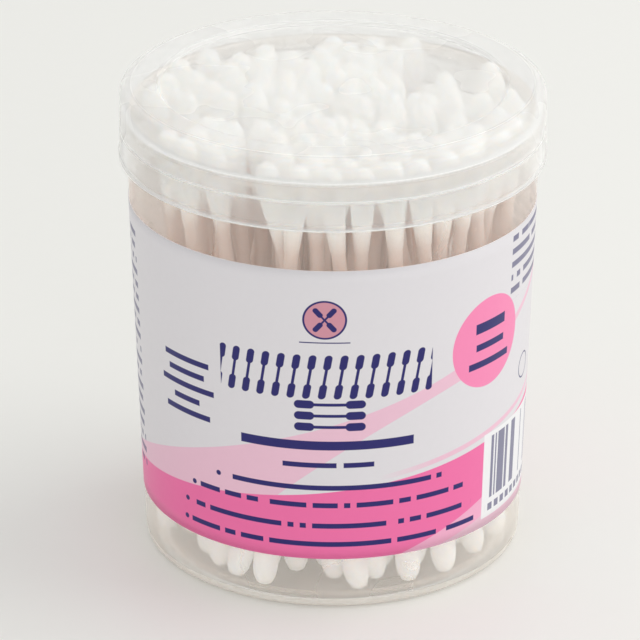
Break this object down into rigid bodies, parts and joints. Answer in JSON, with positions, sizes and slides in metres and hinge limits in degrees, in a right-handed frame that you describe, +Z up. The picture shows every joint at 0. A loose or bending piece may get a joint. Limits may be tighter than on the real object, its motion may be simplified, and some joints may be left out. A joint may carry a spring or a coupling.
{
  "type": "tub of cotton swabs",
  "caption": "Round clear plastic tub with a push-on lid and a wrap label, filled with cotton swabs standing on end.",
  "frame": {"origin": "centre of the foot ring on the table", "axes": "+Z up along the tub's axis, towards the lid; +Y to the back, where the label's ends lap"},
  "size_m": [0.0698, 0.0698, 0.0801],
  "materials": {
    "tub_plastic": "clear, slightly frosted polypropylene",
    "lid_plastic": "frosted translucent polypropylene",
    "label_film": "satin printed film",
    "cotton": "wound cotton on a white stick"
  },
  "bodies": {
    "tub": {"tub": "tub_plastic", "label": "label_film", "swabs_01": "cotton", "swabs_02": "cotton", "swabs_03": "cotton", "swabs_04": "cotton", "swabs_05": "cotton", "swabs_06": "cotton", "swabs_07": "cotton", "swabs_08": "cotton", "swabs_09": "cotton", "swabs_10": "cotton", "swabs_11": "cotton", "swabs_12": "cotton", "swabs_13": "cotton", "swabs_14": "cotton", "swabs_15": "cotton", "swabs_16": "cotton", "swabs_17": "cotton", "swabs_18": "cotton", "swabs_19": "cotton", "swabs_20": "cotton", "swabs_21": "cotton", "swabs_22": "cotton", "swabs_23": "cotton", "swabs_24": "cotton", "swabs_25": "cotton", "swabs_26": "cotton", "swabs_27": "cotton", "swabs_28": "cotton", "swabs_29": "cotton", "swabs_30": "cotton", "swabs_31": "cotton", "swabs_32": "cotton", "swabs_33": "cotton", "swabs_34": "cotton", "swabs_35": "cotton", "swabs_36": "cotton", "swabs_37": "cotton", "swabs_38": "cotton", "swabs_39": "cotton", "swabs_40": "cotton", "swabs_41": "cotton", "swabs_42": "cotton", "swabs_43": "cotton", "swabs_44": "cotton", "swabs_45": "cotton", "swabs_46": "cotton", "swabs_47": "cotton", "swabs_48": "cotton", "swabs_49": "cotton", "swabs_50": "cotton"},
    "lid": {"lid": "lid_plastic"}
  },
  "joints": [
    {"name": "lid_lift", "type": "slide", "parent": "tub", "child": "lid", "axis": [0, 0, 1], "range_m": [0, 0.04]}
  ]
}
